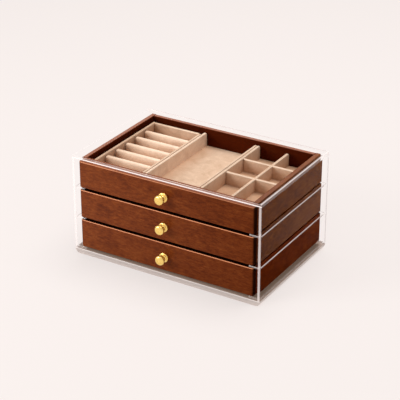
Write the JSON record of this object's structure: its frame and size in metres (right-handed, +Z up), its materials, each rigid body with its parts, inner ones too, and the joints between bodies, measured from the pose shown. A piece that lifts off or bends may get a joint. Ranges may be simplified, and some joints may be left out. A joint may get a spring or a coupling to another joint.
{
  "type": "ring box with drawers",
  "caption": "Clear acrylic jewellery case with sliding wooden drawers on side rails, brass knobs, and suede ring rolls and trays inside.",
  "frame": {"origin": "centre of the case's underside, where it rests on a table", "axes": "+X to the right across the width as seen from the front, +Z up; the knobs and the open side of the case face -Y"},
  "size_m": [0.24, 0.167, 0.122],
  "materials": {
    "clear_acrylic": "clear, polished",
    "walnut": "satin varnish over dark walnut",
    "suede": "napped, beige",
    "brass": "polished",
    "screw_steel": "plain"
  },
  "bodies": {
    "case": {"case_top": "clear_acrylic", "case_base": "clear_acrylic", "case_left_side": "clear_acrylic", "case_right_side": "clear_acrylic", "case_back": "clear_acrylic", "case_lower_left_rail": "clear_acrylic", "case_lower_right_rail": "clear_acrylic", "case_middle_left_rail": "clear_acrylic", "case_middle_right_rail": "clear_acrylic", "case_upper_left_rail": "clear_acrylic", "case_upper_right_rail": "clear_acrylic"},
    "top_drawer": {"top_drawer_front": "walnut", "top_drawer_left_side": "walnut", "top_drawer_right_side": "walnut", "top_drawer_back": "walnut", "top_drawer_bottom": "walnut", "top_drawer_knob": "brass", "top_drawer_knob_screw": "screw_steel", "ring_tray_base": "suede", "ring_tray_left_wall": "suede", "ring_tray_right_wall": "suede", "ring_tray_front_wall": "suede", "ring_tray_rear_wall": "suede", "ring_roll_1": "suede", "ring_roll_2": "suede", "ring_roll_3": "suede", "ring_roll_4": "suede", "ring_roll_5": "suede", "centre_tray_base": "suede", "centre_tray_left_wall": "suede", "centre_tray_right_wall": "suede", "compartment_tray_base": "suede", "compartment_tray_left_wall": "suede", "compartment_tray_right_wall": "suede", "compartment_long_divider": "suede", "compartment_rear_divider": "suede", "compartment_front_divider": "suede"},
    "middle_drawer": {"middle_drawer_front": "walnut", "middle_drawer_left_side": "walnut", "middle_drawer_right_side": "walnut", "middle_drawer_back": "walnut", "middle_drawer_bottom": "walnut", "middle_drawer_knob": "brass", "middle_drawer_knob_screw": "screw_steel", "middle_drawer_lining": "suede", "middle_drawer_left_divider": "suede", "middle_drawer_right_divider": "suede", "middle_drawer_cross_divider": "suede"},
    "bottom_drawer": {"bottom_drawer_front": "walnut", "bottom_drawer_left_side": "walnut", "bottom_drawer_right_side": "walnut", "bottom_drawer_back": "walnut", "bottom_drawer_bottom": "walnut", "bottom_drawer_knob": "brass", "bottom_drawer_knob_screw": "screw_steel", "bottom_drawer_lining": "suede", "bottom_drawer_divider": "suede"}
  },
  "joints": [
    {"name": "top_drawer_slide", "type": "slide", "parent": "case", "child": "top_drawer", "axis": [0, -1, 0], "range_m": [0, 0.12]},
    {"name": "middle_drawer_slide", "type": "slide", "parent": "case", "child": "middle_drawer", "axis": [0, -1, 0], "range_m": [0, 0.12]},
    {"name": "bottom_drawer_slide", "type": "slide", "parent": "case", "child": "bottom_drawer", "axis": [0, -1, 0], "range_m": [0, 0.12]}
  ]
}
